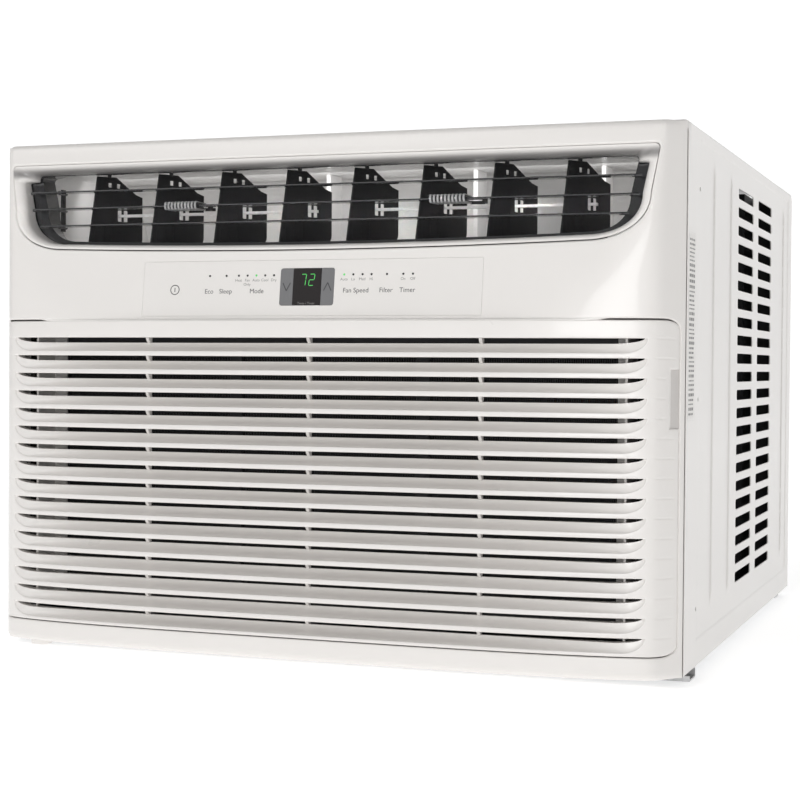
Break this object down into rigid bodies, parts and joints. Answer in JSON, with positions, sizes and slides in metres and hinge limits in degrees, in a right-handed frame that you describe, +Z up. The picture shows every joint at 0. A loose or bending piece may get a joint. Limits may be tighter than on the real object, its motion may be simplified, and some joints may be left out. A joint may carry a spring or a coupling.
{
  "type": "window air conditioner",
  "caption": "Slide-out window air conditioner with louvred top outlet, slatted tilt-open intake grille, touch controls and vented sheet-metal cabinet.",
  "frame": {"origin": "on the plane the support rails stand on, midway between the sides and between front and back", "axes": "+X to the right of a person facing the unit, +Y outdoors, +Z up"},
  "size_m": [0.666, 0.716, 0.483],
  "materials": {
    "panel_plastic": "warm off-white satin-gloss moulding",
    "cabinet_paint": "warm off-white baked enamel on pressed steel",
    "rail_steel": "galvanised",
    "pan_steel": "galvanised sheet",
    "dark_gloss": "dark grey gloss",
    "black_plastic": "fine matt",
    "grip_grey": "ribbed",
    "duct_plastic": "light grey foam-lined duct",
    "film": "satin film",
    "pad_grey": "satin grey",
    "lens": "smoked gloss",
    "light_pipe": "frosted",
    "board": "solder mask",
    "filter_grey": "filter frame",
    "mesh": "woven nylon mesh",
    "fins": "thin fins",
    "copper": "copper tube",
    "rubber": "grommet",
    "black_enamel": "black enamel",
    "motor_paint": "painted steel can",
    "screw_steel": "zinc plated",
    "shaft_steel": "ground"
  },
  "bodies": {
    "cabinet": {"cabinet_left": "cabinet_paint", "cabinet_right": "cabinet_paint", "cabinet_top": "cabinet_paint", "cabinet_floor": "pan_steel", "sill_channel": "rail_steel", "rear_rail": "rail_steel"},
    "chassis": {"front_panel": "panel_plastic", "panel_screws": "screw_steel", "cord_gland": "rubber", "outlet_bezel": "dark_gloss", "outlet_duct": "duct_plastic", "control_film": "film", "display_lens": "lens", "display_module": "black_plastic", "control_board": "board", "indicator_lights": "light_pipe", "base_pan": "pan_steel", "bulkhead": "pan_steel", "evaporator_coil": "fins", "blower_scroll": "black_plastic", "fan_motor": "motor_paint", "motor_bracket": "pan_steel", "condenser_shroud": "black_plastic", "condenser_coil": "fins", "compressor": "black_enamel", "compressor_mounts": "rubber", "accumulator": "black_enamel", "refrigerant_pipes": "copper", "electrical_box": "pan_steel"},
    "grille": {"intake_grille": "panel_plastic"},
    "filter": {"filter_frame": "filter_grey", "filter_mesh": "mesh"},
    "rotor": {"blower_wheel": "black_plastic", "fan_shaft": "shaft_steel", "condenser_fan": "black_plastic"},
    "louver_top": {"louver_top": "dark_gloss"},
    "louver_middle": {"louver_middle": "dark_gloss"},
    "louver_bottom": {"louver_bottom": "dark_gloss"},
    "louver_link": {"louver_link": "black_plastic"},
    "vane_link_left": {"vane_link_left": "duct_plastic"},
    "vane_link_right": {"vane_link_right": "duct_plastic"},
    "grip_left": {"grip_left": "grip_grey"},
    "grip_right": {"grip_right": "grip_grey"},
    "vane_1": {"vane_1": "black_plastic"},
    "vane_2": {"vane_2": "black_plastic"},
    "vane_3": {"vane_3": "black_plastic"},
    "vane_4": {"vane_4": "black_plastic"},
    "vane_5": {"vane_5": "black_plastic"},
    "vane_6": {"vane_6": "black_plastic"},
    "vane_7": {"vane_7": "black_plastic"},
    "vane_8": {"vane_8": "black_plastic"},
    "key_power": {"key_power": "film"},
    "key_eco": {"key_eco": "film"},
    "key_sleep": {"key_sleep": "film"},
    "key_mode": {"key_mode": "film"},
    "key_temp_down": {"key_temp_down": "pad_grey"},
    "key_temp_up": {"key_temp_up": "pad_grey"},
    "key_fan_speed": {"key_fan_speed": "film"},
    "key_filter": {"key_filter": "film"},
    "key_timer": {"key_timer": "film"}
  },
  "joints": [
    {"name": "chassis_slide", "type": "slide", "parent": "cabinet", "child": "chassis", "axis": [0, -1, 0], "range_m": [0, 0.45]},
    {"name": "grille_tilt", "type": "hinge", "parent": "chassis", "child": "grille", "pos_m": [0, -0.356, 0.0324], "axis": [1, 0, 0], "range_deg": [0, 30]},
    {"name": "filter_lift", "type": "slide", "parent": "grille", "child": "filter", "axis": [0, 0, 1], "range_m": [0, 0.06]},
    {"name": "fan_spin", "type": "hinge", "parent": "chassis", "child": "rotor", "pos_m": [0.05, 0, 0.205], "axis": [0, 1, 0], "continuous": true},
    {"name": "louver_top_tilt", "type": "hinge", "parent": "chassis", "child": "louver_top", "pos_m": [0, -0.326, 0.435], "axis": [1, 0, 0], "range_deg": [-25, 25]},
    {"name": "louver_middle_tilt", "type": "hinge", "parent": "chassis", "child": "louver_middle", "pos_m": [0, -0.326, 0.419], "axis": [1, 0, 0], "range_deg": [-25, 25]},
    {"name": "louver_bottom_tilt", "type": "hinge", "parent": "chassis", "child": "louver_bottom", "pos_m": [0, -0.326, 0.403], "axis": [1, 0, 0], "range_deg": [-25, 25]},
    {"name": "louver_link_turn", "type": "hinge", "parent": "louver_middle", "child": "louver_link", "pos_m": [-0.269, -0.314, 0.419], "axis": [1, 0, 0], "range_deg": [-25, 25]},
    {"name": "vane_1_turn", "type": "hinge", "parent": "chassis", "child": "vane_1", "pos_m": [-0.23345, -0.288, 0.419], "axis": [0, 0, 1], "range_deg": [-5, 75]},
    {"name": "vane_2_turn", "type": "hinge", "parent": "chassis", "child": "vane_2", "pos_m": [-0.16675, -0.288, 0.419], "axis": [0, 0, 1], "range_deg": [-5, 75]},
    {"name": "vane_3_turn", "type": "hinge", "parent": "chassis", "child": "vane_3", "pos_m": [-0.10005, -0.288, 0.419], "axis": [0, 0, 1], "range_deg": [-5, 75]},
    {"name": "vane_4_turn", "type": "hinge", "parent": "chassis", "child": "vane_4", "pos_m": [-0.03335, -0.288, 0.419], "axis": [0, 0, 1], "range_deg": [-5, 75]},
    {"name": "vane_5_turn", "type": "hinge", "parent": "chassis", "child": "vane_5", "pos_m": [0.03335, -0.288, 0.419], "axis": [0, 0, 1], "range_deg": [-5, 75]},
    {"name": "vane_6_turn", "type": "hinge", "parent": "chassis", "child": "vane_6", "pos_m": [0.10005, -0.288, 0.419], "axis": [0, 0, 1], "range_deg": [-5, 75]},
    {"name": "vane_7_turn", "type": "hinge", "parent": "chassis", "child": "vane_7", "pos_m": [0.16675, -0.288, 0.419], "axis": [0, 0, 1], "range_deg": [-5, 75]},
    {"name": "vane_8_turn", "type": "hinge", "parent": "chassis", "child": "vane_8", "pos_m": [0.23345, -0.288, 0.419], "axis": [0, 0, 1], "range_deg": [-5, 75]},
    {"name": "vane_link_left_turn", "type": "hinge", "parent": "vane_3", "child": "vane_link_left", "pos_m": [-0.09202, -0.27653, 0.416], "axis": [0, 0, 1], "range_deg": [-75, 5]},
    {"name": "grip_left_slide", "type": "slide", "parent": "louver_middle", "child": "grip_left", "axis": [1, 0, 0], "range_m": [-0.0019, 0.0268]},
    {"name": "vane_link_right_turn", "type": "hinge", "parent": "vane_7", "child": "vane_link_right", "pos_m": [0.17478, -0.27653, 0.416], "axis": [0, 0, 1], "range_deg": [-75, 5]},
    {"name": "grip_right_slide", "type": "slide", "parent": "louver_middle", "child": "grip_right", "axis": [1, 0, 0], "range_m": [-0.0019, 0.0268]},
    {"name": "key_power_press", "type": "slide", "parent": "chassis", "child": "key_power", "axis": [0, 0.9917, -0.1288], "range_m": [0, 0.0006], "stiffness_N_per_m": 2500},
    {"name": "key_eco_press", "type": "slide", "parent": "chassis", "child": "key_eco", "axis": [0, 0.9917, -0.1288], "range_m": [0, 0.0006], "stiffness_N_per_m": 2500},
    {"name": "key_sleep_press", "type": "slide", "parent": "chassis", "child": "key_sleep", "axis": [0, 0.9917, -0.1288], "range_m": [0, 0.0006], "stiffness_N_per_m": 2500},
    {"name": "key_mode_press", "type": "slide", "parent": "chassis", "child": "key_mode", "axis": [0, 0.9917, -0.1288], "range_m": [0, 0.0006], "stiffness_N_per_m": 2500},
    {"name": "key_temp_down_press", "type": "slide", "parent": "chassis", "child": "key_temp_down", "axis": [0, 0.9917, -0.1288], "range_m": [0, 0.0006], "stiffness_N_per_m": 2500},
    {"name": "key_temp_up_press", "type": "slide", "parent": "chassis", "child": "key_temp_up", "axis": [0, 0.9917, -0.1288], "range_m": [0, 0.0006], "stiffness_N_per_m": 2500},
    {"name": "key_fan_speed_press", "type": "slide", "parent": "chassis", "child": "key_fan_speed", "axis": [0, 0.9917, -0.1288], "range_m": [0, 0.0006], "stiffness_N_per_m": 2500},
    {"name": "key_filter_press", "type": "slide", "parent": "chassis", "child": "key_filter", "axis": [0, 0.9917, -0.1288], "range_m": [0, 0.0006], "stiffness_N_per_m": 2500},
    {"name": "key_timer_press", "type": "slide", "parent": "chassis", "child": "key_timer", "axis": [0, 0.9917, -0.1288], "range_m": [0, 0.0006], "stiffness_N_per_m": 2500}
  ],
  "couplings": [
    {"joint": "louver_top_tilt", "follows": "louver_middle_tilt", "ratio": 1},
    {"joint": "louver_bottom_tilt", "follows": "louver_middle_tilt", "ratio": 1},
    {"joint": "louver_link_turn", "follows": "louver_middle_tilt", "ratio": -1},
    {"joint": "vane_1_turn", "follows": "vane_3_turn", "ratio": 1},
    {"joint": "vane_2_turn", "follows": "vane_3_turn", "ratio": 1},
    {"joint": "vane_4_turn", "follows": "vane_3_turn", "ratio": 1},
    {"joint": "vane_link_left_turn", "follows": "vane_3_turn", "ratio": -1},
    {"joint": "grip_left_slide", "follows": "vane_3_turn", "m_per_rad": 0.0203},
    {"joint": "vane_5_turn", "follows": "vane_7_turn", "ratio": 1},
    {"joint": "vane_6_turn", "follows": "vane_7_turn", "ratio": 1},
    {"joint": "vane_8_turn", "follows": "vane_7_turn", "ratio": 1},
    {"joint": "vane_link_right_turn", "follows": "vane_7_turn", "ratio": -1},
    {"joint": "grip_right_slide", "follows": "vane_7_turn", "m_per_rad": 0.0203}
  ]
}
